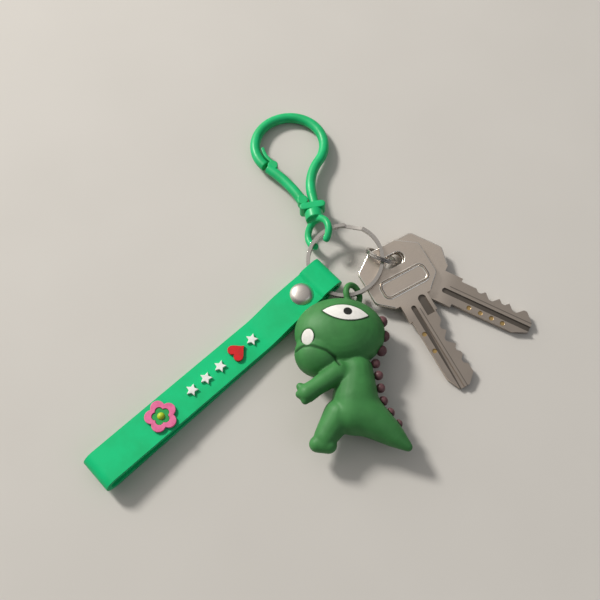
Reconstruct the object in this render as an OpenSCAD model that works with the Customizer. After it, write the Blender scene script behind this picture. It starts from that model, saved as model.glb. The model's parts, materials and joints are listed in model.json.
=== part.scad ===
// Keychain: a split ring that carries a plastic snap hook, a silicone wrist strap,
// a moulded dinosaur charm and, on a small link ring, two keys.
// It lies on a table at z = 0, and everything hangs on the key ring.

/* [Key ring] */
// Outer diameter of the key ring
ring_od = 26.6; // [22:0.2:34]
// Radial width of the ring's flattened wire
ring_wire_w = 1.2; // [0.8:0.1:1.6]
// Thickness of one of its two coils
ring_wire_t = 0.75; // [0.5:0.05:1]
// Gap between the coils of both split rings
coil_gap = 0.1; // [0.05:0.05:0.2]

/* [Link ring] */
// Outer diameter of the link ring
link_od = 11.6; // [10:0.2:14]
// Radial width of its wire
link_wire_w = 0.8; // [0.6:0.1:1]
// Thickness of one of its coils
link_wire_t = 0.6; // [0.4:0.05:0.8]

/* [Snap hook] */
// Mid radius of the swivel eye
eye_r = 5; // [4.8:0.1:6.5]
// Radius of the eye's round section
eye_tube_r = 1.3; // [1:0.05:1.5]
// Mid radius of the hook's round loop
loop_r = 12.65; // [10:0.05:16]
// Diameter of the hook's bar
bar_d = 3.7; // [3:0.1:4.4]
// Distance from the collar to the centre of the loop
loop_rise = 28.2; // [25:0.1:36]
// Width of the collar
collar_w = 9.2; // [8.6:0.1:12]
// Depth of the collar
collar_depth = 5.4; // [5:0.1:6.5]
// Height of the collar along the hook
collar_h = 2.7; // [2.4:0.1:3.6]
// Radius of the swivel pin
pin_r = 1.4; // [1.1:0.05:1.6]

/* [Strap] */
// Length from the fold at the ring to the nose of the loop
strap_len = 101.7; // [80:0.5:130]
// Width of the band
strap_w = 11.6; // [9:0.1:14]
// Thickness of the band
band_t = 1.8; // [1.4:0.1:2.2]
// Height of the loop's nose
nose_h = 7.5; // [6:0.1:10]
// Distance from the fold to the rivet
rivet_x = 13.4; // [13:0.1:18]
// Diameter of the rivet's cap
rivet_d = 8.2; // [6:0.1:9]

/* [Charm] */
// Thickness of the charm
charm_t = 16.2; // [12:0.1:20]
// Mid radius of the charm's eyelet
eyelet_r = 3.4; // [3.2:0.1:4.5]
// Radius of the eyelet's round section
eyelet_tube_r = 1.1; // [0.8:0.05:1.3]
// Width of the head
head_w = 29.8; // [26:0.1:34]
// Height of the head
head_h = 24; // [21:0.1:27]

/* [Keys] */
// Thickness of the key blanks
key_t = 1.8; // [1.4:0.1:2.2]
// Width of the front key's bow
front_bow_w = 24.2; // [21:0.1:27]
// Width of the back key's bow
back_bow_w = 24; // [22:0.1:27]
// Length of the bows from the top edge to the blade
bow_len = 21.3; // [20:0.1:24]
// Length of the blades
blade_len = 34; // [28:0.1:40]
// Width of the blades
blade_w = 8.8; // [7:0.1:10]

/* [Hidden] */
$fn = 48;
seat = 0.05;             // clearance of pieces pressed or moulded together
run = 0.08;              // radial clearance of turning fits
lay_gap = 0.1;           // gap between layers of the folded band
ring_r = (ring_od - ring_wire_w) / 2;
ring_h = 2 * ring_wire_t + coil_gap;
link_r = (link_od - link_wire_w) / 2;
link_h = 2 * link_wire_t + coil_gap;

hook_green = [0.09, 0.78, 0.46];
charm_green = [0.24, 0.46, 0.25];
nickel = [0.68, 0.66, 0.63];

// ---- where the ring is carried: under the strap's fold, in the swivel eye, over the front key
strap_turn = 223.3;      // heading of the strap seen from above
strap_side = 1.05;       // how far the strap's middle passes from the ring's centre
back_h = 0.9;            // height of the rivet's lower head
pitch = band_t + lay_gap;
fold_z = back_h + 2 * pitch - lay_gap / 2;
link_lean = 35;          // lean of the link ring from upright
link_turn = -26;         // heading of its chord through the key holes
link_z = (link_r + link_wire_w / 2) * cos(link_lean) + link_h / 2 * sin(link_lean) + 0.15;
hole_drop = 2.25;        // the lower key's hole hangs this far under the link ring's middle
key_gap = 0.6;           // space between the two bows
back_hole_z = link_z - hole_drop;
front_hole_z = back_hole_z + key_gap + key_t;
eye_roll = 46;           // turn of the eye about its neck
eye_clear = 0.6;         // height of the eye's lowest point
eye_z = eye_r * sin(eye_roll) + eye_tube_r + eye_clear;
strap_angle = 218;       // places round the ring
eye_angle = 129.5;
charm_angle = -79;
key_angle = -12;
strap_wire_z = fold_z;
wire_lift = 0.95;        // the wire crosses the eye this far above the eye's middle
key_clear = 0.42;        // and clears the upper key's bow by this much
eye_wire_z = eye_z + wire_lift;
key_wire_z = front_hole_z + key_t / 2 + key_clear + ring_h / 2;

// The ring's plane z = ring_z + gx x + gy y goes through those three heights
function at(a) = [ring_r * cos(a), ring_r * sin(a)];
d1 = at(eye_angle) - at(strap_angle);
d2 = at(key_angle) - at(strap_angle);
h1 = eye_wire_z - strap_wire_z;
h2 = key_wire_z - strap_wire_z;
det = d1.x * d2.y - d1.y * d2.x;
gx = (h1 * d2.y - h2 * d1.y) / det;
gy = (d1.x * h2 - d2.x * h1) / det;
ring_z = strap_wire_z - gx * at(strap_angle).x - gy * at(strap_angle).y;
ring_at = [10.3, 7.5, ring_z];
ring_tilt = [asin(gy / norm([gx, gy, 1])), -atan(gx), 0];

function wire_at(a) = let (p = at(a)) ring_at + [p.x, p.y, gx * p.x + gy * p.y];
function smooth(t) = let (s = min(1, max(0, t))) s * s * (3 - 2 * s);
function arc(c, r, a0, a1, n = 12) =
    [for (i = [0:n]) c + r * [cos(a0 + (a1 - a0) * i / n), sin(a0 + (a1 - a0) * i / n)]];
function heading(v) = atan2(v.y, v.x);

// An outline with each corner rounded to radius r
function rounded(p, r, n = 5) = [for (i = [0:len(p) - 1])
    let (q = p[i], u = p[(i + len(p) - 1) % len(p)] - q, v = p[(i + 1) % len(p)] - q,
         a = u / norm(u), b = v / norm(v), half = acos(a * b) / 2, mid = (a + b) / norm(a + b),
         c = q + mid * r / sin(half), s = heading(q + a * r / tan(half) - c),
         turn = heading(q + b * r / tan(half) - c) - s,
         sweep = turn > 180 ? turn - 360 : turn < -180 ? turn + 360 : turn)
    each [for (k = [0:n]) c + r * [cos(s + sweep * k / n), sin(s + sweep * k / n)]]];

// ---- rings
// Two coils of flattened wire, joined by a short ramp
module split_ring(r, w, t, ramp) {
    rise = (t + coil_gap) / 2;
    module coil(a0, sweep, z, trim = 0)
        translate([0, 0, z]) rotate_extrude(angle = sweep, start = a0, $fn = 96)
            translate([r - w / 2 + trim, -t / 2 + trim]) square([w - 2 * trim, t - 2 * trim]);
    coil(ramp, 360 - 2 * ramp, rise);
    coil(ramp, 360 - 2 * ramp, -rise);
    hull() {
        coil(-ramp - 4, 2, rise, 0.03);
        coil(ramp + 2, 2, -rise, 0.03);
    }
}

module key_ring() {
    color(nickel) translate(ring_at) rotate(ring_tilt) rotate(75)
        split_ring(ring_r, ring_wire_w, ring_wire_t, 14);
}

link_wire_angle = 4;     // place round the ring where the link ring hangs
link_mid = wire_at(link_wire_angle) + [-0.3, 1.25, 0];
link_shift = [0.3, -0.1]; // from the chord through the key holes to the link ring's middle
module in_link() {
    translate([link_mid.x + link_shift.x, link_mid.y + link_shift.y, link_z]) rotate(link_turn)
        rotate([90 + link_lean, 0, 0]) children();
}

module link_ring() {
    color(nickel) in_link() rotate(250) split_ring(link_r, link_wire_w, link_wire_t, 24);
}

// ---- snap hook: the eye's frame has its neck along +y, the hook's frame its collar at the origin
eye_gap = 29;            // half of the opening in the eye, degrees
eye_shift = 1.5;         // the eye's centre lies this far outside the wire
neck_turn = 101.3;       // heading of the neck seen from above
collar_y = eye_r + eye_tube_r + 2.4 + collar_h / 2;
neck_r = 3.3;
head_r = pin_r + 0.6;
head_t = 0.9;
eye_at = let (p = wire_at(eye_angle)) [p.x, p.y, eye_z] + eye_shift * [cos(eye_angle), sin(eye_angle), 0];
hook_slope = asin((eye_z - bar_d / 2 - 0.1) / (collar_y + loop_rise + loop_r));
neck = [cos(neck_turn) * cos(hook_slope), sin(neck_turn) * cos(hook_slope), -sin(hook_slope)];
hook_at = eye_at + collar_y * neck;

module in_eye() {
    translate(eye_at) rotate(neck_turn - 90) rotate([-hook_slope, 0, 0]) rotate([0, -eye_roll, 0]) children();
}

module swivel_eye() {
    module ring_arc(a0, sweep)
        rotate_extrude(angle = sweep, start = a0) translate([eye_r, 0]) circle(eye_tube_r);
    color(hook_green) in_eye() {
        ring_arc(-90 + eye_gap, 360 - 2 * eye_gap);
        for (side = [-1, 1]) rotate(-90 + side * eye_gap) translate([eye_r, 0, 0])
            rotate([90 * side, 0, 0]) translate([0, 0, -0.2])
                cylinder(r1 = eye_tube_r - 0.05, r2 = eye_tube_r * 0.65, h = 0.8);
        translate([0, eye_r + 0.3, 0]) rotate([-90, 0, 0])
            cylinder(r = neck_r, h = collar_y - collar_h / 2 - run - eye_r - 0.3);
        translate([0, eye_r, 0]) rotate([-90, 0, 0]) cylinder(r = pin_r, h = collar_y - eye_r + 0.2);
        translate([0, collar_y, 0]) rotate([-90, 0, 0]) cylinder(r = head_r, h = head_t);
    }
}

// Centre lines of the hook: round loop, right arm that sweeps down to x = arm_x, left arm to the gate's root
arm_x = 0.95;            // the right arm stands here on the collar
arm_y = 6;               // and starts to curve here
loop_at = [-2.8, loop_rise];
arm_d = arm_x - loop_at.x;
arm_r = (arm_d * arm_d + pow(loop_rise - arm_y, 2) - loop_r * loop_r) / (2 * (loop_r - arm_d));
arm_c = [arm_x + arm_r, arm_y];
arm_turn = heading(arm_c - loop_at);
gate_at = [-2.85, collar_h / 2 + bar_d / 2 + 0.1];
gate_lean = -72;         // heading of the gate as it runs into its root
gate_n = [sin(gate_lean), -cos(gate_lean)];
gate_k = gate_at - loop_at;
gate_r = (gate_k * gate_k - loop_r * loop_r) / (2 * (loop_r - gate_k * gate_n));
gate_c = gate_at + gate_r * gate_n;
gate_turn = heading(gate_c - loop_at) + 360;
arm_lap = 2;             // degrees that the right arm's curve runs into the loop
lap = 6;                 // degrees from the lap joint to where the arms' curves meet
tongue_r = loop_r - bar_d / 2 - 0.9;
tongue_w = 1.2;

module in_hook() {
    translate(hook_at) rotate(neck_turn - 90) rotate([-hook_slope, 0, 0]) children();
}

module bar_arc(c, r, a0, a1, d = bar_d) {
    translate([c.x, c.y, 0]) rotate_extrude(angle = a1 - a0, start = a0, $fn = 96)
        translate([r, 0]) circle(d = d);
}

module hook_body() {
    root_y = collar_h / 2 - 0.3;
    thinner = 0.08;      // each run of the arm is thinner than the one it grows from
    collar_side = (collar_w - collar_h) / 2;
    color(hook_green) in_hook() difference() {
        union() {
            bar_arc(loop_at, loop_r, arm_turn, gate_turn - lap);
            bar_arc(arm_c, arm_r, 180 - arm_lap + arm_turn, 180, bar_d - thinner);
            translate([arm_x, root_y, 0]) rotate([-90, 0, 0])
                cylinder(d = bar_d - 2 * thinner, h = arm_y - root_y + 0.5);
            translate([0, 0, -collar_depth / 2]) {
                translate([-collar_side, -collar_h / 2, 0]) cube([2 * collar_side, collar_h, collar_depth]);
                for (side = [-1, 1]) translate([side * collar_side, 0, 0])
                    cylinder(d = collar_h, h = collar_depth);
            }
        }
        translate([0, -collar_h, 0]) rotate([-90, 0, 0]) cylinder(r = pin_r + run, h = collar_h + 0.3);
        translate([0, -0.1, 0]) rotate([-90, 0, 0]) cylinder(r = head_r + run, h = head_t + 0.2);
    }
}

module hook_gate() {
    color(hook_green) in_hook() {
        translate([gate_at.x, gate_at.y, -bar_d / 2]) cylinder(d = bar_d, h = bar_d);
        bar_arc(gate_c, gate_r, gate_turn - 180, heading(gate_at - gate_c));
        translate([loop_at.x, loop_at.y, 0]) {
            rotate(gate_turn + 5) translate([loop_r - 1.5, 0, -bar_d / 2 + 0.2])
                cylinder(d = bar_d, h = bar_d - 0.4);
            rotate_extrude(angle = -49, start = gate_turn + 5, $fn = 96)
                translate([tongue_r - tongue_w / 2, -bar_d / 2 + 0.6]) square([tongue_w, bar_d - 1.2]);
        }
    }
}

// ---- strap: a band folded over the ring and back on itself, drawn from the side as x, z
eye_half = ring_h / 2 + 0.45;             // half height of the space round the wire
fold_r = eye_half + band_t / 2;           // mid radius of the fold
fold_x = band_t + eye_half;               // centre of the fold
eye_end = rivet_x - rivet_d / 2;          // the layers meet here
eye_deep = eye_end - 2;                   // the space is full height up to here
flap_end = rivet_x + rivet_d / 2 + 1;
nose_r = (nose_h - band_t) / 2;
nose_x = strap_len - nose_h / 2;
dip_x = 33.5;                             // the top layer lies lowest here
dip_z = 1.5 * band_t + 0.3;
function spread(x) = eye_half * (1 - smooth((x - eye_deep) / (eye_end - eye_deep)));
function bottom_z(x) = band_t / 2 + back_h * (1 - smooth((x - flap_end) / 14));
function top_z(x) = let (line = dip_z + (nose_h - band_t / 2 - dip_z) * (x - dip_x) / (nose_x - dip_x))
    x < flap_end ? fold_z + pitch / 2 + spread(x)
    : fold_z + pitch / 2 + (max(line, dip_z) - fold_z - pitch / 2) * smooth((x - flap_end) / (dip_x - flap_end));
function flap_z(x) = fold_z - pitch / 2 - spread(x);
function steps(a, b, n) = [for (i = [0:n]) a + (b - a) * i / n];
band_path = concat(
    [for (x = steps(eye_end, dip_x, 10)) [x, bottom_z(x)]],
    [[nose_x * 0.7, band_t / 2]],
    arc([nose_x, nose_h / 2], nose_r, -90, 90, 14),
    [for (x = steps(nose_x - 8, dip_x + 12, 3)) [x, top_z(x)]],
    [for (x = steps(dip_x, flap_end, 8)) [x, top_z(x)]],
    [for (x = steps(eye_end, eye_deep, 5)) [x, top_z(x)]],
    arc([fold_x, fold_z], fold_r, 90, 270, 12),
    [for (x = steps(eye_deep, eye_end, 5)) [x, flap_z(x)]],
    [[flap_end, flap_z(flap_end)]]);
last = len(band_path) - 1;
function side(i) = let (v = band_path[min(last, i + 1)] - band_path[max(0, i - 1)]) [-v.y, v.x] / norm(v);
strap_origin = let (a = strap_turn, f = [cos(a), sin(a)], s = [-sin(a), cos(a)],
                    reach = sqrt(ring_r * ring_r - strap_side * strap_side) - (eye_deep - ring_wire_w / 2 - 0.1))
    [ring_at.x, ring_at.y, 0] + concat(reach * f - strap_side * s, [0]);

module in_strap() {
    translate(strap_origin) rotate(strap_turn) children();
}

module strap_band() {
    outer = [for (i = [0:last]) band_path[i] + side(i) * band_t / 2];
    inner = [for (i = [last:-1:0]) band_path[i] - side(i) * band_t / 2];
    color(hook_green) in_strap() difference() {
        translate([0, strap_w / 2, 0]) rotate([90, 0, 0]) linear_extrude(strap_w)
            polygon(concat(outer, inner));
        translate([rivet_x, 0, -1]) cylinder(r = post_r + seat, h = 10);
    }
}

post_r = 1.5;
post_foot = 0.4;
post_tip = 0.95;         // how far the post reaches into the cap
cap_h = 1.9;
heart_x = 42.6;
mark_h = 0.9;
cap_z = fold_z + pitch / 2 + band_t / 2 + 0.02;
module rivet_cap() {
    dome_r = (rivet_d * rivet_d / 4 + cap_h * cap_h) / (2 * cap_h);
    color(nickel) in_strap() translate([rivet_x, 0, cap_z]) difference() {
        intersection() {
            translate([0, 0, cap_h - dome_r]) sphere(dome_r, $fn = 64);
            cylinder(d = rivet_d, h = cap_h + 1);
        }
        translate([0, 0, -1]) cylinder(r = post_r + seat, h = 2);
    }
}

module rivet_post() {
    color(nickel) in_strap() translate([rivet_x, 0, post_foot])
        cylinder(r = post_r, h = cap_z + post_tip - post_foot);
}

module rivet_back() {
    color(nickel) in_strap() translate([rivet_x, 0, 0.02]) difference() {
        cylinder(d = rivet_d - 0.6, h = back_h - 0.04);
        translate([0, 0, 0.33]) cylinder(r = post_r + seat, h = 2);
    }
}

// Places a raised mark on the top layer at x, turned to the layer's slope
module on_band(x) {
    slope = atan(top_z(x + 1) - top_z(x - 1)) / 2;
    in_strap() translate([x, 0, top_z(x) + band_t / 2 / cos(slope) + 0.03]) rotate([0, -slope, 0]) children();
}

star_r = 2.2;
star_places = [36, 49.9, 55.9, 61.8];
module strap_stars() {
    star = [for (i = [0:9]) (i % 2 == 0 ? star_r : star_r * 0.48) * [cos(36 * i), sin(36 * i)]];
    color("white") for (x = star_places) on_band(x) linear_extrude(mark_h) polygon(star);
}

heart_w = 6.2;
module strap_heart() {
    color([0.85, 0.1, 0.12]) on_band(heart_x) linear_extrude(1) polygon([for (t = [0:12:348])
        heart_w / 32 * [13 * cos(t) - 5 * cos(2 * t) - 2 * cos(3 * t) - cos(4 * t), 16 * pow(sin(t), 3)]]);
}

flower_x = 74.6;
petal_r = 2.3;
petal_place = 3;
centre_r = 1.25;
centre_place = 1.7;
module flower_petals() {
    color([0.93, 0.45, 0.66]) on_band(flower_x) difference() {
        union() {
            for (i = [0:4]) rotate(72 * i + 36) translate([petal_place, 0, 0]) cylinder(r = petal_r, h = 1);
            cylinder(r = petal_place, h = 1);
        }
        translate([0, 0, -1]) five_lobes(seat, 3);
    }
}

module five_lobes(grow, h) {
    for (i = [0:4]) rotate(72 * i + 36) translate([centre_place, 0, 0]) cylinder(r = centre_r + grow, h = h);
    cylinder(r = centre_place + grow, h = h);
}

module flower_centre() {
    color([0.1, 0.6, 0.3]) on_band(flower_x) five_lobes(0, 0.7);
}

module flower_bead() {
    color([0.62, 0.82, 0.2]) on_band(flower_x) translate([0, 0, 0.72]) intersection() {
        translate([0, 0, -0.35]) sphere(1.3);
        cylinder(r = 2, h = 2);
    }
}

// ---- charm: its frame has the eyelet's centre at the origin and the table at z = -charm_z
charm_z = wire_at(charm_angle).z;
charm_mid = charm_t / 2 - 0.2 - charm_z;
eyelet_roll = 45;
head_at = [-4.8, -2.6 - head_h / 2, charm_mid];
charm_floor = 0.15 - charm_z;

module in_charm() {
    translate(wire_at(charm_angle)) children();
}

module ellipsoid(c, s) {
    translate(c) scale(s) sphere(1, $fn = 36);
}

module ball(x, y, r, z = 0) {
    translate([x, y, charm_mid + z]) sphere(r, $fn = 20);
}

module head(grow = 0) {
    ellipsoid(head_at, [head_w / 2 + grow, head_h / 2 + grow, charm_t / 2 + 0.7 + grow]);
}

module limb(a, b) {
    hull() {
        ball(a[0], a[1], a[2], a[3]);
        ball(b[0], b[1], b[2], b[3]);
    }
}

module charm_shape() {
    intersection() {
        union() {
            head();
            ellipsoid([-11.8, -21.9, charm_mid + 0.5], [7.9, 7.8, 6.8]);
            limb([0.2, -27.5, 5.6, 0], [-0.2, -37, 7.6, 0]);
            limb([-0.2, -37, 7.6, 0], [-0.6, -41.6, 7.1, 0]);
            limb([-5.4, -42, 5.2, 0.5], [-9.8, -49, 3.8, 0]);
            limb([-12.4, -51.2, 2.7, 0], [-8.9, -51.6, 2.7, 0]);
            limb([-9.8, -49, 3.8, 0], [-10.2, -51, 3, 0]);
            limb([2.6, -41.8, 6.8, 0], [9.4, -46.8, 4.6, 0]);
            limb([9.4, -46.8, 4.6, 0], [15.8, -52.1, 1.5, 0]);
            limb([-5.6, -28.8, 3.6, 3], [-12.8, -34, 2.9, 4]);
            limb([-12.8, -34, 2.9, 4], [-15.6, -36, 3.1, 4]);
            for (f = [[-17.8, -33.9], [-18, -36.4], [-16.2, -38.4]]) ball(f.x, f.y, 1.35, 4.2);
        }
        translate([-60, -80, charm_floor]) cube([120, 100, 60]);
    }
}

module charm_body() {
    color(charm_green) in_charm() difference() {
        charm_shape();
        rotate([0, eyelet_roll, 0]) {
            rotate_extrude() translate([eyelet_r, 0]) circle(eyelet_tube_r + seat, $fn = 24);
            translate([0, -eyelet_r, 0]) rotate([90, 0, 0]) cylinder(r = peg_r + seat, h = peg_len + 0.2);
        }
        eye_patch(2, -eye_deep_in - seat, seat);
        tooth_patch(2, -eye_deep_in - seat, seat);
        translate([0, 1.35, 0]) cube([60, 5, 60], center = true);
    }
}

peg_r = 1.5;
peg_len = 4;
module charm_eyelet() {
    color(charm_green) in_charm() rotate([0, eyelet_roll, 0]) {
        rotate_extrude() translate([eyelet_r, 0]) circle(eyelet_tube_r);
        translate([0, -eyelet_r, 0]) rotate([90, 0, 0]) cylinder(r = peg_r, h = peg_len);
    }
}

// Filled-in colours are flush patches let into the head, each the skin between two sizes of it
eye_deep_in = 0.8;
eye_c = [-3.2, -10.2];
lens_l = 7.4;            // half length of the eye
lens_h = 2.8;            // half height of the eye
lens_r = (lens_l * lens_l + lens_h * lens_h) / (2 * lens_h);

module skin(outer, inner) {
    intersection() {
        difference() {
            head(outer);
            head(inner);
        }
        translate([-60, -60, charm_mid]) cube([120, 80, 40]);
        children();
    }
}

module eye_patch(outer, inner, grow = 0) {
    skin(outer, inner) translate([eye_c.x, eye_c.y, 0]) rotate(-6) linear_extrude(40)
        intersection_for (s = [-1, 1])
            translate([0, s * (lens_r - lens_h)]) circle(lens_r + grow, $fn = 96);
}

module pupil_patch(outer, inner, grow = 0) {
    skin(outer, inner) translate([eye_c.x + 0.7, eye_c.y + 0.3, 0]) cylinder(r = 1.35 + grow, h = 40, $fn = 32);
}

module tooth_patch(outer, inner, grow = 0) {
    skin(outer, inner) translate([-15.4, -17.9, 0]) linear_extrude(40)
        polygon([for (t = [0:12:348]) [(1.9 + grow) * cos(t), (2.5 + grow) * sin(t)]]);
}

module charm_eye() {
    color("white") in_charm() difference() {
        eye_patch(0.25, -eye_deep_in);
        pupil_patch(2, -0.4, seat);
    }
}

module charm_pupil() {
    color([0.06, 0.07, 0.06]) in_charm() pupil_patch(0.4, -0.35);
}

module charm_tooth() {
    color("white") in_charm() tooth_patch(0.3, -eye_deep_in);
}

spine_places = [[9.1, -10.6, 2], [9.6, -15.6, 2], [8.6, -20.6, 1.9], [6.6, -25, 1.6], [7.4, -29, 1.6],
                [7.9, -33.2, 1.6], [8.6, -37.4, 1.6], [10.6, -41.2, 1.6], [13, -44.8, 1.5]];
module charm_spines() {
    color([0.45, 0.33, 0.33]) in_charm() difference() {
        for (p = spine_places) ball(p.x, p.y, p.z);
        charm_shape();
    }
}

// ---- keys: the frame has the blade's root at the origin, the blade along +x, mid-plane at z = 0
hole_l = 8;
hole_w = 4.4;
front_hole = [-14.9, 1.05];
back_hole = [-16.6, 0.1];
front_turn = -61;
back_turn = -26.4;
cut_flat = 1.1;
first_front_cut = 13;
first_back_cut = 14;
cut_pitch = 4.4;
groove_deep = 0.65;
under_deep = 0.5;
dimple_deep = 0.35;
dimple_r = 0.8;
front_inset = 0.8;       // each hole's middle lies this far inside the link ring's mid radius
back_inset = 0.4;
frame_l = 17.2;          // raised frame on the upper key's bow
frame_w = 6.4;
frame_line = 0.5;

// Puts a key with its hole at p and its tip on the table, rolled about its length
module in_key(p, hole, turn, roll) {
    reach = blade_len - hole.x;
    tip_z = key_t / 2 + 0.05 + blade_w / 2 * sin(roll);
    translate(p) rotate(turn) rotate([0, asin((p.z - tip_z) / reach), 0]) rotate([roll, 0, 0])
        translate([-hole.x, -hole.y, 0]) children();
}

module key_blank(bow_w, shoulder, bow_shift = 0) {
    half = bow_w / 2;
    bow = rounded([[-bow_len, -half * 0.42], [-bow_len * 0.77, -half], [-bow_len * 0.2, -half],
                   [0.4, -half * 0.55], [0.4, half * 0.55], [-bow_len * 0.2, half],
                   [-bow_len * 0.77, half], [-bow_len, half * 0.42]], 2);
    tip = rounded([[-1, -blade_w / 2], [blade_len - 5, -blade_w / 2], [blade_len, -blade_w / 4],
                   [blade_len, blade_w / 8], [blade_len - 3, blade_w / 2], [-1, blade_w / 2]], 0.6);
    linear_extrude(key_t, center = true) {
        translate([0, bow_shift]) polygon(bow);
        polygon(tip);
        translate([-1, -shoulder]) square([8, 2 * shoulder]);
    }
}

module key_cuts(depths, first, pitch_x) {
    for (i = [0:len(depths) - 1]) {
        d = depths[i];
        translate([first + pitch_x * i, blade_w / 2, -key_t]) linear_extrude(2 * key_t)
            polygon([[-cut_flat / 2, -d], [cut_flat / 2, -d], [cut_flat / 2 + d + 0.3, 0.3],
                     [-cut_flat / 2 - d - 0.3, 0.3]]);
    }
}

module slot(x0, x1, y, w, deep) {
    translate([0, y, key_t / 2 - deep]) {
        translate([x0, -w / 2, 0]) cube([x1 - x0, w, 2]);
        translate([x0, 0, 0]) cylinder(d = w, h = 2, $fn = 24);
    }
}

module dimple(x, y) {
    translate([x, y, key_t / 2 - dimple_deep]) cylinder(r = dimple_r, h = 1, $fn = 24);
}

module frame_outline(w, l, r) {
    polygon(rounded([[-w / 2, -l / 2], [w / 2, -l / 2], [w / 2, l / 2], [-w / 2, l / 2]], r));
}

module key_hole(hole) {
    translate([hole.x, hole.y, 0]) for (s = [-1, 1])
        translate([0, s * (hole_l - hole_w) / 2, -2]) cylinder(d = hole_w, h = 4);
    translate([hole.x - hole_w / 2, hole.y - (hole_l - hole_w) / 2, -2]) cube([hole_w, hole_l - hole_w, 4]);
}

module front_key() {
    p = [link_mid.x, link_mid.y, front_hole_z] + (link_r - front_inset) * [cos(link_turn), sin(link_turn), 0];
    color(nickel) in_key(p, front_hole, front_turn, 3) {
        difference() {
            key_blank(front_bow_w, 5.2);
            key_hole(front_hole);
            key_cuts([1.6, 2.4, 1, 1.3], first_front_cut, cut_pitch);
            slot(3, blade_len + 1, -1.6, 1.7, groove_deep);
            slot(1.5, 7.5, 2.6, 2.8, groove_deep);
            mirror([0, 0, 1]) slot(5, blade_len + 1, 1.2, 1.5, under_deep);
            for (x = [12.5, 19]) dimple(x, -3.2);
        }
        // raised frame round the bow's panel
        translate([-6.6, 0.5, key_t / 2 - 0.05]) linear_extrude(0.2) difference() {
            frame_outline(frame_w, frame_l, 2.2);
            frame_outline(frame_w - 2 * frame_line, frame_l - 2 * frame_line, 2.2 - frame_line);
        }
    }
}

module back_key() {
    p = [link_mid.x, link_mid.y, back_hole_z] + (link_r - back_inset) * [cos(link_turn), sin(link_turn), 0];
    color(nickel) in_key(p, back_hole, back_turn, 5) difference() {
        key_blank(back_bow_w, 5.6, 1.2);
        key_hole(back_hole);
        key_cuts([1, 1.9, 1.2, 2.1], first_back_cut, cut_pitch);
        slot(3, blade_len + 1, -1, 1.8, groove_deep);
        mirror([0, 0, 1]) slot(5, blade_len + 1, 1.2, 1.5, under_deep);
        for (x = [12.8, 17, 21, 25]) dimple(x, -3.1);
    }
}

key_ring();
link_ring();
swivel_eye();
hook_body();
hook_gate();
strap_band();
rivet_cap();
rivet_post();
rivet_back();
strap_stars();
strap_heart();
flower_petals();
flower_centre();
flower_bead();
charm_body();
charm_eyelet();
charm_eye();
charm_pupil();
charm_tooth();
charm_spines();
front_key();
back_key();
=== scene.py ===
"""Looks of a keychain: a split ring with a snap hook, a strap, a charm, a link ring and two keys."""
import json
import math

import bmesh
import bpy
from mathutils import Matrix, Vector
from mathutils.bvhtree import BVHTree


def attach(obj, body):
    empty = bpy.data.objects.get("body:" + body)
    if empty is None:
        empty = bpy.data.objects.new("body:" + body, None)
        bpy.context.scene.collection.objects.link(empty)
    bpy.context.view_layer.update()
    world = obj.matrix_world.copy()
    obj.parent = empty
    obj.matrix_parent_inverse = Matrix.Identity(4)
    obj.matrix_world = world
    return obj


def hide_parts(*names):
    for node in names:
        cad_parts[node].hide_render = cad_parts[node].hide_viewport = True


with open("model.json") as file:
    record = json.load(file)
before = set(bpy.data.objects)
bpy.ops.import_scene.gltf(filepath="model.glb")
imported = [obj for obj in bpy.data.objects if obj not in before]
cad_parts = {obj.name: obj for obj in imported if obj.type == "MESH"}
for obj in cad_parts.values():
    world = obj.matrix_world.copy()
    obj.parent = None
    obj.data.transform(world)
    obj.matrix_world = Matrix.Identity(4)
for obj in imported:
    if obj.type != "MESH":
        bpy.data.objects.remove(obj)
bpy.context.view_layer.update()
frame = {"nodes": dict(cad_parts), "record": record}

# ---- Split ring
# Two turns of flattened spring wire carry everything else. The wire is nickel plated
# over steel, with its edges rolled round, and keys sliding on it leave fine scratches.
MM = 0.001
WELD = 0.002 * MM
FLAT_TURN = math.radians(0.4)
CREASE_TURN = math.radians(40)
WIRE_EDGE = 0.3 * MM
HAND_CLOUDS = 6 * MM
RING_SCUFFS = 0.3 * MM
RING_RELIEF = 0.0004 * MM
RING_BRIGHT = (0.56, 0.53, 0.50, 1)
RING_DULL = (0.38, 0.36, 0.34, 1)
RUBBED_HIGHLIGHT = (0.96, 0.93, 0.88, 1)
nodes = frame["nodes"]


class Surface:
    """One socket of a material, so that what varies over a surface is written as sums."""

    def __init__(self, tree, socket=None):
        self.tree = tree
        self.socket = socket

    def add(self, kind, settings={}, values={}, out=0):
        node = self.tree.nodes.new("ShaderNode" + kind)
        for key, setting in settings.items():
            setattr(node, key, setting)
        for key, value in values.items():
            if isinstance(value, Surface):
                self.tree.links.new(value.socket, node.inputs[key])
            else:
                node.inputs[key].default_value = value
        return Surface(self.tree, node.outputs[out])

    def maths(self, operation, *others):
        return self.add("Math", {"operation": operation}, dict(enumerate((self,) + others)))

    def __add__(self, other):
        return self.maths("ADD", other)

    def __sub__(self, other):
        return self.maths("SUBTRACT", other)

    def __mul__(self, other):
        return self.maths("MULTIPLY", other)

    def __rsub__(self, other):
        return self.add("Math", {"operation": "SUBTRACT"}, {0: other, 1: self})

    __radd__ = __add__
    __rmul__ = __mul__

    def between(self, low, high):
        """0 below low, 1 above high, smooth between."""
        return self.add("MapRange", {"interpolation_type": "SMOOTHSTEP"},
                        {"Value": self, "From Min": low, "From Max": high})

    def mix(self, first, second):
        """The colour first where this is 0 and second where it is 1."""
        return self.add("Mix", {"data_type": "RGBA"}, {"Factor": self, 6: first, 7: second}, out=2)


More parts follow.
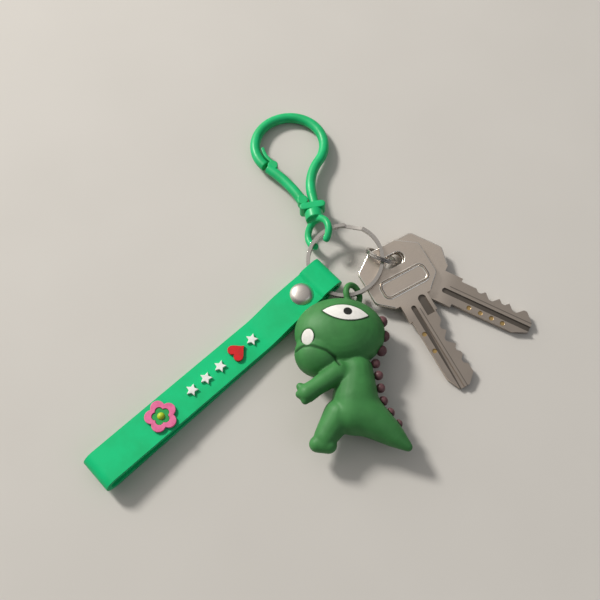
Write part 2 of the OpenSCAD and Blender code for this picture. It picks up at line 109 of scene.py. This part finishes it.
class Finish:
    """A material with its Principled shader and the maker's words for what goes on it."""

    def __init__(self, name, **constants):
        self.material = bpy.data.materials.new(name)
        self.material.use_nodes = True
        self.tree = self.material.node_tree
        self.shader = self.tree.nodes["Principled BSDF"]
        for key, value in constants.items():
            self.shader.inputs[key.replace("_", " ")].default_value = value
        self.place = Surface(self.tree).add("TexCoord", out=3)

    def cloudy(self, size, detail=3, stretch=(1, 1, 1), turn=0.0):
        """Cloudy variation 0 to 1 with spots of about this size in metres."""
        moved = self.place.add("Mapping", {"vector_type": "TEXTURE"},
                               {"Vector": self.place, "Rotation": (0, 0, turn), "Scale": stretch})
        return self.place.add("TexNoise", {},
                              {"Vector": moved, "Scale": 1 / size, "Detail": detail})

    def mark(self, name):
        """A value painted on the piece's own mesh."""
        return self.place.add("Attribute", {"attribute_name": name}, out=2)

    def feed(self, **fields):
        for key, field in fields.items():
            self.tree.links.new(field.socket, self.shader.inputs[key.replace("_", " ")])

    def relief(self, height, depth, strength):
        """Bump of this depth in metres where height goes from 0 to 1."""
        bump = self.place.add("Bump", {},
                              {"Height": height, "Distance": depth, "Strength": strength})
        self.feed(Normal=bump)


def keen_edges(shape, sharper):
    """The edges that turn by more than this many degrees."""
    return [e for e in shape.edges
            if len(e.link_faces) == 2 and e.calc_face_angle() > math.radians(sharper)]


def round_off(shape, edges, radius, segments, clamp=True):
    """Rounds these edges and sets the edge mark to 1 on what it makes."""
    mark = shape.loops.layers.float["edge"]
    made = bmesh.ops.bevel(shape, geom=edges, offset=radius, offset_type="OFFSET",
                           affect="EDGES", segments=segments, profile=0.5, material=-1,
                           clamp_overlap=clamp)
    for face in made["faces"]:
        for corner in face.loops:
            corner[mark] = 1


def rounded_copy(name, source, edge, segments=3, sharper=30, first=None):
    """A copy of a rigid solid with its doubles merged and its sharp edges rounded.
    Its edge mark is 1 on the rounded edges and 0 on the faces between them."""
    shape = bmesh.new()
    shape.from_mesh(nodes[source].data)
    bmesh.ops.remove_doubles(shape, verts=shape.verts, dist=WELD)
    bmesh.ops.dissolve_limit(shape, angle_limit=FLAT_TURN, verts=shape.verts, edges=shape.edges)
    shape.loops.layers.float.new("edge")
    if first:
        first(shape)
    round_off(shape, keen_edges(shape, sharper), edge, segments)
    mesh = bpy.data.meshes.new(name)
    shape.to_mesh(mesh)
    shape.free()
    mesh.shade_smooth()
    mesh.set_sharp_from_angle(angle=CREASE_TURN)
    piece = bpy.data.objects.new(name, mesh)
    bpy.context.collection.objects.link(piece)
    weighted = piece.modifiers.new("even shading", "WEIGHTED_NORMAL")
    weighted.keep_sharp = True
    return piece


def settle(piece, finish, body, slot, *replaced):
    """Gives a piece its finish, the body it moves with and the CAD nodes it stands for."""
    piece.data.materials.clear()
    piece.data.materials.append(finish.material)
    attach(piece, body)
    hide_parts(*replaced)


def plated_metal(name, bright, dull, rough, grain, depth, polish_and_highlight=0.8, more=None):
    """Nickel plate, clouded with handling, scuffed at this grain and brightened along its
    rounded edges by polish_and_highlight, partly as polish rubbed up by handling and partly
    as a painted highlight. A function given as more adds a piece's own wear."""
    metal = Finish(name, Metallic=1.0)
    handled = metal.cloudy(HAND_CLOUDS, detail=4).between(0.35, 0.7)
    scuffs = metal.cloudy(grain, detail=4, stretch=(6, 1, 1), turn=0.6).between(0.54, 0.68)
    rubbed_and_highlight = metal.mark("edge")
    tarnish = (handled * 0.6 + scuffs * 0.4).between(0, 1)
    # The rounded edges are mixed toward a bright colour: partly nickel polished by rubbing, partly a
    # painted highlight.
    tint = (rubbed_and_highlight * polish_and_highlight).mix(tarnish.mix(bright, dull), RUBBED_HIGHLIGHT)
    dullness = rough + 0.10 * handled + 0.10 * scuffs - 0.12 * rubbed_and_highlight
    height = scuffs + metal.cloudy(grain * 0.6, detail=2)
    if more:
        tint, dullness, height = more(metal, tint, dullness, height)
    metal.feed(Base_Color=tint, Roughness=dullness)
    metal.relief(height, depth, strength=0.5)
    return metal


ring_nickel = plated_metal("ring_nickel", RING_BRIGHT, RING_DULL, rough=0.24,
                           grain=RING_SCUFFS, depth=RING_RELIEF, polish_and_highlight=0.5)
ring = rounded_copy("split_ring", "key_ring", WIRE_EDGE, segments=4)
settle(ring, ring_nickel, "key_ring", "ring_nickel", "key_ring")

# ---- Link ring
# A smaller split ring of the same plated wire, threaded through both keys
# and over the big ring, so the keys can be taken off together.
LINK_EDGE = 0.22 * MM
link = rounded_copy("keys_link", "link_ring", LINK_EDGE, segments=4)
settle(link, ring_nickel, "link_ring", "ring_nickel", "link_ring")

# ---- Snap hook
# Injection moulded acetal in three working parts: the C shaped eye that turns in the
# collar, the round bar with its loop, and the thin gate that bends in to let a loop pass.
HOOK_GREEN = (0.006, 0.50, 0.175, 1)
HOOK_SHADE = (0.004, 0.41, 0.130, 1)
HOOK_FLOW = 5 * MM
HOOK_RUBS = 0.7 * MM
HOOK_GRAIN = 0.35 * MM
HOOK_RELIEF = 0.008 * MM
EYE_PLAY = 0.05 * MM


def moulded_copy(name, sources, cell, passes, shrink=0.0):
    """A copy of soft or moulded solids run together, its corners softened as in a mould."""
    joined = bmesh.new()
    for source in sources:
        joined.from_mesh(nodes[source].data)
    bmesh.ops.remove_doubles(joined, verts=joined.verts, dist=WELD)
    rough = bpy.data.meshes.new(name + " rough")
    joined.to_mesh(rough)
    joined.free()
    holder = bpy.data.objects.new(name + " rough", rough)
    bpy.context.collection.objects.link(holder)
    remesh = holder.modifiers.new("even cells", "REMESH")
    remesh.mode = "VOXEL"
    remesh.voxel_size = cell
    remesh.use_smooth_shade = True
    bpy.context.view_layer.update()
    evaluated = holder.evaluated_get(bpy.context.evaluated_depsgraph_get())
    mesh = bpy.data.meshes.new_from_object(evaluated)
    bpy.data.objects.remove(holder)
    mesh.name = name
    shape = bmesh.new()
    shape.from_mesh(mesh)
    for _ in range(passes):
        bmesh.ops.smooth_vert(shape, verts=shape.verts, factor=0.5,
                              use_axis_x=True, use_axis_y=True, use_axis_z=True)
    shape.normal_update()
    for vert in shape.verts:
        vert.co -= vert.normal * shrink
    shape.to_mesh(mesh)
    shape.free()
    mesh.shade_smooth()
    piece = bpy.data.objects.new(name, mesh)
    bpy.context.collection.objects.link(piece)
    return piece


hook_plastic = Finish("hook_plastic", Coat_Roughness=0.25, IOR=1.48, Specular_IOR_Level=0.35)
flow = hook_plastic.cloudy(HOOK_FLOW).between(0.3, 0.7)
rubs = hook_plastic.cloudy(HOOK_RUBS, detail=5, stretch=(5, 1, 1), turn=1.2).between(0.58, 0.68)
hook_plastic.feed(Base_Color=flow.mix(HOOK_GREEN, HOOK_SHADE),
                  Roughness=0.42 + 0.06 * flow + 0.14 * rubs,
                  Coat_Weight=0.15 - 0.12 * rubs)
hook_plastic.relief(hook_plastic.cloudy(HOOK_GRAIN) + rubs * 0.5, HOOK_RELIEF, strength=0.7)

eye = moulded_copy("hook_eye", ["swivel_eye"], cell=0.16 * MM, passes=9, shrink=EYE_PLAY)
settle(eye, hook_plastic, "swivel_eye", "hook_plastic", "swivel_eye")
bar = moulded_copy("hook_bar", ["hook_body"], cell=0.18 * MM, passes=9)
settle(bar, hook_plastic, "hook", "hook_plastic", "hook_body")
gate = moulded_copy("hook_gate_tongue", ["hook_gate"], cell=0.15 * MM, passes=5)
settle(gate, hook_plastic, "gate", "hook_plastic", "hook_gate")

# ---- Strap
# One band of moulded silicone, folded round the split ring and riveted to itself.
# It is satin and a little dusty, and the mould leaves its long edges softly rounded.
STRAP_GREEN = (0.005, 0.57, 0.215, 1)
STRAP_SHADE = (0.004, 0.48, 0.17, 1)
STRAP_DUSTY = (0.30, 0.62, 0.42, 1)
STRAP_HAZE = 9 * MM
STRAP_DUST = 0.22 * MM
STRAP_GRAIN = 0.3 * MM
STRAP_RELIEF = 0.01 * MM
STRAP_EDGE = 0.35 * MM

strap_silicone = Finish("strap_silicone", IOR=1.42, Specular_IOR_Level=0.3)
haze = strap_silicone.cloudy(STRAP_HAZE).between(0.3, 0.72)
dust = strap_silicone.cloudy(STRAP_DUST, detail=2).between(0.70, 0.76)
strap_silicone.feed(
    Base_Color=(dust * 0.2).mix(haze.mix(STRAP_GREEN, STRAP_SHADE), STRAP_DUSTY),
    Roughness=0.42 + 0.10 * haze + 0.2 * dust)
strap_silicone.relief(strap_silicone.cloudy(STRAP_GRAIN, detail=4), STRAP_RELIEF, strength=0.6)
strap = rounded_copy("strap", "strap_band", STRAP_EDGE, segments=4, sharper=40)
settle(strap, strap_silicone, "strap", "strap_silicone", "strap_band")

# ---- Rivet
# A nickel cap with a low dome and a rolled rim, pressed on a tubular post,
# and a flat washer-like back under the strap.
RIVET_BRIGHT = (0.70, 0.65, 0.61, 1)
RIVET_DULL = (0.52, 0.48, 0.45, 1)
RIVET_SCUFFS = 0.3 * MM
RIVET_RELIEF = 0.001 * MM
UPWARD = 0.2
DOME_TOP = 0.8 * MM
DOME_PRESS = 0.55
CAP_EDGE = 0.22 * MM
POST_EDGE = 0.15 * MM
FOOT_EDGE = 0.18 * MM

rivet_nickel = plated_metal("rivet_nickel", RIVET_BRIGHT, RIVET_DULL, rough=0.34,
                            grain=RIVET_SCUFFS, depth=RIVET_RELIEF)


def flatter(shape):
    """Presses the top of the cap's dome down to a little under half of its height."""
    lifts = [f.normal * f.calc_area() for f in shape.faces if f.normal.z > UPWARD]
    up = sum(lifts, Vector()).normalized()
    spring = max(v.co.dot(up) for v in shape.verts) - DOME_TOP
    for vert in shape.verts:
        vert.co -= up * max(0.0, vert.co.dot(up) - spring) * DOME_PRESS


cap = rounded_copy("rivet_dome", "rivet_cap", CAP_EDGE, first=flatter)
settle(cap, rivet_nickel, "strap", "rivet_nickel", "rivet_cap")
post = rounded_copy("rivet_tube", "rivet_post", POST_EDGE)
settle(post, rivet_nickel, "strap", "rivet_nickel", "rivet_post")
back = rounded_copy("rivet_foot", "rivet_back", FOOT_EDGE)
settle(back, rivet_nickel, "strap", "rivet_nickel", "rivet_back")

# ---- Marks on the strap
# Stars, a heart and a flower, cast in coloured silicone and bonded to the band,
# so their edges are soft.
CAST_CLOUDS = 1.6 * MM
CAST_GRAIN = 0.25 * MM
CAST_RELIEF = 0.008 * MM


def cast_silicone(name, colour, shade):
    """Coloured silicone poured in a small mould, matte with a fine even grain."""
    silicone = Finish(name, IOR=1.42)
    cloud = silicone.cloudy(CAST_CLOUDS).between(0.35, 0.7)
    silicone.feed(Base_Color=cloud.mix(colour, shade), Roughness=0.38 + 0.14 * cloud)
    silicone.relief(silicone.cloudy(CAST_GRAIN), CAST_RELIEF, strength=0.6)
    return silicone


star_white = cast_silicone(
    "star_silicone", colour=(0.86, 0.87, 0.84, 1), shade=(0.74, 0.76, 0.73, 1))
heart_red = cast_silicone(
    "heart_silicone", colour=(0.66, 0.010, 0.014, 1), shade=(0.50, 0.008, 0.010, 1))
petal_pink = cast_silicone(
    "petal_silicone", colour=(0.80, 0.17, 0.36, 1), shade=(0.68, 0.12, 0.28, 1))
flower_green = cast_silicone(
    "flower_green_silicone", colour=(0.02, 0.36, 0.08, 1), shade=(0.015, 0.28, 0.06, 1))
bead_yellow = cast_silicone(
    "bead_silicone", colour=(0.45, 0.62, 0.03, 1), shade=(0.36, 0.52, 0.03, 1))
for source, name, finish, slot, edge in (
        ("strap_stars", "stars", star_white, "star_silicone", 0.2 * MM),
        ("strap_heart", "heart", heart_red, "heart_silicone", 0.3 * MM),
        ("flower_petals", "petals", petal_pink, "petal_silicone", 0.3 * MM),
        ("flower_centre", "flower_middle", flower_green, "flower_green_silicone", 0.2 * MM),
        ("flower_bead", "flower_dot", bead_yellow, "bead_silicone", 0.1 * MM)):
    settle(rounded_copy(name, source, edge, segments=4), finish, "strap", slot, source)

# ---- Charm
# A dinosaur of soft PVC cast in one mould, with its loop. The skin is matte, with a mouth
# line pressed in and a plain one-eyed face, and painted shade darkens the mouth line and
# the rims round the eye and tooth.
joints = {joint["name"]: joint for joint in frame["record"]["behaviour"]["joints"]}
charm_hang = Vector(joints["charm_swing"]["pos_m"])
# Across and down from the loop's hinge, in millimetres.
MOUTH = [(-19.2, -21.8), (-17.0, -20.9), (-14.5, -21.0), (-12.0, -21.9),
         (-9.2, -22.9), (-6.6, -24.6), (-5.2, -27.0)]
MOUTH_DEPTH = 0.55 * MM
MOUTH_WIDTH = 0.42 * MM
MOUTH_FADE = 0.02
FRONT_LEAN = 0.05
FRONT_HEIGHT = 6 * MM
RIM_SHADE = 0.8 * MM
# Hip, tail, shoulder and flank: the middle and reach of each blend, and its smoothings.
BLENDS = [((5.5, -43.0), 9.5, 75), ((-1.5, -44.0), 5.0, 30),
          ((-4.0, -27.5), 3.6, 30), ((4.0, -35.0), 6.0, 30)]
BLEND_RINGS = (1.0, 0.88, 0.76)
SKIN_GREEN = (0.055, 0.235, 0.065, 1)
SKIN_SHADE = (0.042, 0.185, 0.050, 1)
SKIN_CREASE_SHADE = (0.008, 0.040, 0.010, 1)
SKIN_MOTTLE = 7 * MM
SKIN_PORES = 0.28 * MM
SKIN_RELIEF = 0.012 * MM

skin = moulded_copy("charm_skin", ["charm_body", "charm_eyelet"], cell=0.28 * MM, passes=9)
shape = bmesh.new()
shape.from_mesh(skin.data)
for (x, y), reach, passes in BLENDS:
    middle = charm_hang + Vector((x, y, 0)) * MM
    for part in BLEND_RINGS:
        near = [v for v in shape.verts if (v.co - middle).to_2d().length < reach * part * MM]
        for _ in range(passes // len(BLEND_RINGS)):
            bmesh.ops.smooth_vert(shape, verts=near, factor=0.9,
                                  use_axis_x=True, use_axis_y=True, use_axis_z=True)
crease_shade = shape.verts.layers.float.new("crease_shade")
mouth = [charm_hang + Vector((x, y, 0)) * MM for x, y in MOUTH]
rims = []
for source in ("charm_eye", "charm_tooth"):
    inset = bmesh.new()
    inset.from_mesh(nodes[source].data)
    rims.append(BVHTree.FromBMesh(inset))
    inset.free()


def off_line(point, line):
    """How far a point is from a line of points, seen from above."""
    best = math.inf
    for a, b in zip(line, line[1:]):
        run = (b - a).to_2d()
        along = max(0.0, min(1.0, (point - a).to_2d().dot(run) / run.length_squared))
        best = min(best, ((point - a).to_2d() - run * along).length)
    return best


# Marks where painted shade goes: along the pressed mouth line and round the eye and tooth.
shape.normal_update()
for vert in shape.verts:
    if vert.normal.z > FRONT_LEAN and vert.co.z > FRONT_HEIGHT:
        groove = math.exp(-(off_line(vert.co, mouth) / MOUTH_WIDTH) ** 2)
        if groove > MOUTH_FADE:
            vert.co -= vert.normal * MOUTH_DEPTH * groove
            vert[crease_shade] = groove
    for rim in rims:
        away = rim.find_nearest(vert.co, RIM_SHADE)[3]
        if away is not None:
            vert[crease_shade] = max(vert[crease_shade], 1 - away / RIM_SHADE)
shape.to_mesh(skin.data)
shape.free()
skin.data.shade_smooth()

charm_pvc = Finish("charm_skin", IOR=1.45, Specular_IOR_Level=0.35)
mottle = charm_pvc.cloudy(SKIN_MOTTLE).between(0.3, 0.7)
pores = charm_pvc.cloudy(SKIN_PORES, detail=4)
# Painted shade: the marked creases are darkened toward near black and made rougher.
deep = charm_pvc.mark("crease_shade")
charm_pvc.feed(Base_Color=(deep * 0.85).mix(mottle.mix(SKIN_GREEN, SKIN_SHADE), SKIN_CREASE_SHADE),
               Roughness=0.50 + 0.08 * mottle + 0.2 * deep)
charm_pvc.relief(pores, SKIN_RELIEF, strength=0.7)
settle(skin, charm_pvc, "charm", "charm_skin", "charm_body", "charm_eyelet")

# ---- Charm's eye, tooth and spines
# Poured in their own colours into pockets of the green, so they stand a little
# proud of it. The spines along the back are small dull pink beads, their pink darkened
# with painted shade for the body's shadow they sit in.
eye_white = cast_silicone(
    "charm_eye_white", colour=(0.84, 0.83, 0.80, 1), shade=(0.76, 0.75, 0.72, 1))
pupil_black = cast_silicone(
    "charm_pupil_black", colour=(0.012, 0.013, 0.012, 1), shade=(0.02, 0.022, 0.02, 1))
tooth_white = cast_silicone(
    "charm_tooth_white", colour=(0.84, 0.83, 0.79, 1), shade=(0.74, 0.73, 0.69, 1))
# This pink is darkened with painted shade, as the spines sit in the body's shadow.
shaded_spine_pink = cast_silicone(
    "charm_spine_pink", colour=(0.155, 0.070, 0.078, 1), shade=(0.10, 0.045, 0.05, 1))
for source, name, finish, slot, edge in (
        ("charm_eye", "eye_white", eye_white, "charm_eye_white", 0.25 * MM),
        ("charm_pupil", "pupil", pupil_black, "charm_pupil_black", 0.15 * MM),
        ("charm_tooth", "tooth", tooth_white, "charm_tooth_white", 0.3 * MM)):
    settle(rounded_copy(name, source, edge), finish, "charm", slot, source)
spines = moulded_copy("spines", ["charm_spines"], cell=0.18 * MM, passes=4)
settle(spines, shaded_spine_pink, "charm", "charm_spine_pink", "charm_spines")

# ---- Keys
# Two flat cylinder keys stamped from nickel silver, milled along the blade and cut on
# one edge. Their rims are polished by handling and brightened with a painted highlight,
# the blades are dulled by the lock, and painted shade darkens the milled floors.
KEY_THICK = 1.8 * MM
KEY_EDGE = 0.1 * MM
KEY_FACE = 0.48 * KEY_THICK
BOW_EDGE = 0.4 * MM
BOW_END = 0.2 * MM
BOW_BACK = -20 * MM
BLADE_CLEAR = 5 * MM
HOLE_EDGE = 0.3 * MM
HOLE_REACH = 4.6 * MM
FRONT_HOLE = (-14.9 * MM, 1.05 * MM)
REAR_HOLE = (-16.6 * MM, 0.1 * MM)
FLOOR_HALF = 4.2 * MM
FLOOR_SHALLOW = 0.12 * MM
FLOOR_DEEP = 0.8 * MM
FLOOR_LEVEL = 0.3
FRONT_PINS = [(12.5 * MM, -3.2 * MM), (19 * MM, -3.2 * MM)]
REAR_PINS = [(x * MM, -3.1 * MM) for x in (12.8, 17, 21, 25)]
PIN_REACH = 1.0 * MM
PIN_SUNK = 0.1 * MM
KEY_BRIGHT = (0.76, 0.665, 0.58, 1)
KEY_DULL = (0.62, 0.54, 0.465, 1)
BLADE_DULL = (0.34, 0.29, 0.25, 1)
GROOVE_SHADE = (0.085, 0.075, 0.065, 1)
BRASS = (0.50, 0.35, 0.15, 1)
KEY_SCUFFS = 0.14 * MM
KEY_RELIEF = 0.0005 * MM
FRONT_LINE = 0.2 * MM
REAR_LINE = 1.0 * MM
LINE_RATIO = 120
KNURL_PITCH = 0.7 * MM
KNURL_RATIO = 60


class KeyPlace:
    """Where a key lies: its hole, the way it points and the way its flat faces."""

    def __init__(self, turn_joint, blade_mount, hole):
        mounts = {mount["name"]: mount for mount in frame["record"]["mounts"]}
        self.up = Vector(joints[turn_joint]["axis"]).normalized()
        self.along = Vector(mounts[blade_mount]["axis"]).normalized()
        self.across = self.up.cross(self.along).normalized()
        self.hole = Vector(joints[turn_joint]["pos_m"])
        self.root = self.hole - self.along * hole[0] - self.across * hole[1]

    def local(self, point):
        """A point in the key's own lengths: along the blade, across it and up from its middle."""
        away = point - self.root
        return Vector((away.dot(self.along), away.dot(self.across), away.dot(self.up)))


def stamped_key(name, source, place, pins):
    """A key with its bow's rim well rounded, its milled floors marked for painted shade
    and its pin dimples marked.
    """

    def face_edges(shape):
        """The keen edges of the key's two faces, each with its ends in the key's own lengths."""
        found = []
        for edge in keen_edges(shape, 60):
            ends = [place.local(v.co) for v in edge.verts]
            level = max(abs(f.normal.dot(place.up)) for f in edge.link_faces) > 0.99
            if level and all(abs(end.z) > KEY_FACE for end in ends):
                found.append((edge, ends))
        return found

    def on_bow(end):
        return end.x < BOW_END and (abs(end.y) > BLADE_CLEAR or end.x < BOW_BACK)

    def rim(shape):
        """Rounds the bow's outline, and then the hole that the link ring runs in."""
        outline = [edge for edge, ends in face_edges(shape) if all(map(on_bow, ends))]
        round_off(shape, outline, BOW_EDGE, segments=4, clamp=False)
        hole = [edge for edge, ends in face_edges(shape)
                if all((v.co - place.hole).length < HOLE_REACH for v in edge.verts)]
        round_off(shape, hole, HOLE_EDGE, segments=3, clamp=False)

    piece = rounded_copy(name, source, KEY_EDGE, segments=2, first=rim)
    shape = bmesh.new()
    shape.from_mesh(piece.data)
    deep = shape.verts.layers.float.new("deep")
    brass = shape.verts.layers.float.new("brass")
    # Marks the milled floors for painted shade and the pin dimples for worn brass.
    for vert in shape.verts:
        at = place.local(vert.co)
        sunk = KEY_THICK / 2 - abs(at.z)
        milled = 0 < at.x and abs(at.y) < FLOOR_HALF and FLOOR_SHALLOW < sunk < FLOOR_DEEP
        level = abs(vert.normal.dot(place.up)) > FLOOR_LEVEL
        vert[deep] = float(milled and level)
        dimpled = any(math.hypot(at.x - x, at.y - y) < PIN_REACH for x, y in pins)
        vert[brass] = float(dimpled and at.z > 0 and sunk > PIN_SUNK)
    shape.to_mesh(piece.data)
    shape.free()
    return piece


def key_finish(name, place, groove, knurled):
    """Nickel silver worn bright on its rims, with a painted highlight there too, painted shade
    in its milled floors and along the milled line, and brassy where pins rub.
    """

    def worn(metal, tint, dullness, height):
        milled_shade = metal.mark("deep")
        rubbed_and_highlight = metal.mark("brass")
        heading = math.atan2(place.along.y, place.along.x)
        flat = metal.place.add(
            "Mapping", {"vector_type": "TEXTURE"},
            {"Vector": metal.place, "Location": place.root, "Rotation": (0, 0, heading)})
        along = metal.place.add("SeparateXYZ", {}, {"Vector": flat}, out=0)
        across = metal.place.add("SeparateXYZ", {}, {"Vector": flat}, out=1)
        beside = (across - groove).maths("ABSOLUTE").between(0.08 * MM, 0.2 * MM)
        line = (1 - beside) * along.between(4 * MM, 4.3 * MM)
        blade = along.between(-1 * MM, 7 * MM) * (1 - metal.mark("edge") * 0.6)
        tint = (blade * 0.55).mix(tint, BLADE_DULL)
        # Painted shade: the milled floors and the milled line are darkened toward near black; the
        # floors are also made rougher.
        tint = (milled_shade * 0.85).mix((line * 0.6).mix(tint, GROOVE_SHADE), GROOVE_SHADE)
        tint = rubbed_and_highlight.mix(tint, BRASS)
        height = height - line * LINE_RATIO
        if knurled:
            ridge = math.pi / KNURL_PITCH
            knurl = (((along + across) * ridge).maths("SINE")
                     * ((along - across) * ridge).maths("SINE"))
            bow = 1 - along.between(-3.4 * MM, -3.0 * MM)
            height = height + knurl * bow * (1 - metal.mark("edge")) * KNURL_RATIO
        return tint, dullness + 0.15 * milled_shade, height

    return plated_metal(name, KEY_BRIGHT, KEY_DULL, rough=0.32, grain=KEY_SCUFFS,
                        depth=KEY_RELIEF, more=worn)


front_place = KeyPlace("front_key_turn", "front_key_blade", FRONT_HOLE)
rear_place = KeyPlace("back_key_turn", "back_key_blade", REAR_HOLE)
front_nickel = key_finish("front_key_nickel", front_place, FRONT_LINE, knurled=False)
rear_nickel = key_finish("rear_key_nickel", rear_place, REAR_LINE, knurled=True)
front = stamped_key("key_front", "front_key", front_place, FRONT_PINS)
settle(front, front_nickel, "front_key", "key_nickel", "front_key")
rear = stamped_key("key_rear", "back_key", rear_place, REAR_PINS)
settle(rear, rear_nickel, "back_key", "key_nickel", "back_key")

# ---- Stage
# A plain pale floor, one large soft light from the upper left, a weaker fill from the
# right, and a pale sky with a soft glow low on the left for the metal to mirror.
FLOOR_SIZE = 3
FLOOR_DROP = 0.1 * MM
FLOOR_CLOUDS = 40 * MM
FLOOR_SHADE = (0.56, 0.54, 0.51, 1)
FLOOR_PALE = (0.60, 0.58, 0.55, 1)
bpy.ops.mesh.primitive_plane_add(size=FLOOR_SIZE, location=(0, 0, -FLOOR_DROP))
floor = bpy.context.object
floor.name = "floor"
paper = Finish("floor_paper", Roughness=0.85)
paper.feed(Base_Color=paper.cloudy(FLOOR_CLOUDS, detail=2).mix(FLOOR_SHADE, FLOOR_PALE))
floor.data.materials.append(paper.material)


def soft_light(name, place, size, power, colour):
    """A round soft light that faces the keychain."""
    lamp = bpy.data.lights.new(name, "AREA")
    lamp.shape = "DISK"
    lamp.size = size
    lamp.energy = power
    lamp.color = colour
    light = bpy.data.objects.new(name, lamp)
    light.location = place
    light.rotation_euler = (-Vector(place)).to_track_quat("-Z", "Y").to_euler()
    bpy.context.collection.objects.link(light)


soft_light("key_light", place=(-0.78, 0.66, 0.80), size=0.26, power=16.0,
           colour=(1.0, 0.965, 0.91))
soft_light("fill_light", place=(0.55, -0.30, 0.50), size=0.60, power=0.7,
           colour=(0.92, 0.96, 1.0))

SKY_DARK = (0.10, 0.105, 0.12, 1)
SKY_PALE = (0.90, 0.88, 0.85, 1)
SKY_GLOW = (2.2, 2.1, 1.95, 1)
SKY_STRENGTH = 0.5
PALE_WAY = (-0.45, 0.50, 0.74)
GLOW_WAY = (-0.75, 0.45, 0.48)
sky = bpy.data.worlds.new("sky")
sky.use_nodes = True
air = Surface(sky.node_tree)
ray = air.add("TexCoord")


def towards(way):
    """How nearly a ray of the sky points this way, from -1 to 1."""
    return air.add("VectorMath", {"operation": "DOT_PRODUCT"}, {0: ray, 1: way}, out=1)


shade = towards(PALE_WAY).between(-0.1, 1.0).mix(SKY_DARK, SKY_PALE)
shade = towards(GLOW_WAY).between(0.72, 0.98).mix(shade, SKY_GLOW)
background = sky.node_tree.nodes["Background"]
sky.node_tree.links.new(shade.socket, background.inputs["Color"])
background.inputs["Strength"].default_value = SKY_STRENGTH
bpy.context.scene.world = sky
bpy.context.scene.view_settings.view_transform = "Standard"

CAMERA_PLACE = Vector((-5.1, -111.7, 265.2)) * MM
CAMERA_AIM = Vector((-5.1, -4.6, 0)) * MM
lens = bpy.data.cameras.new("camera")
lens.lens = 50
lens.sensor_width = 36
lens.clip_start = 10 * MM
camera = bpy.data.objects.new("camera", lens)
camera.location = CAMERA_PLACE
camera.rotation_euler = (CAMERA_AIM - CAMERA_PLACE).to_track_quat("-Z", "Y").to_euler()
bpy.context.collection.objects.link(camera)
bpy.context.scene.camera = camera
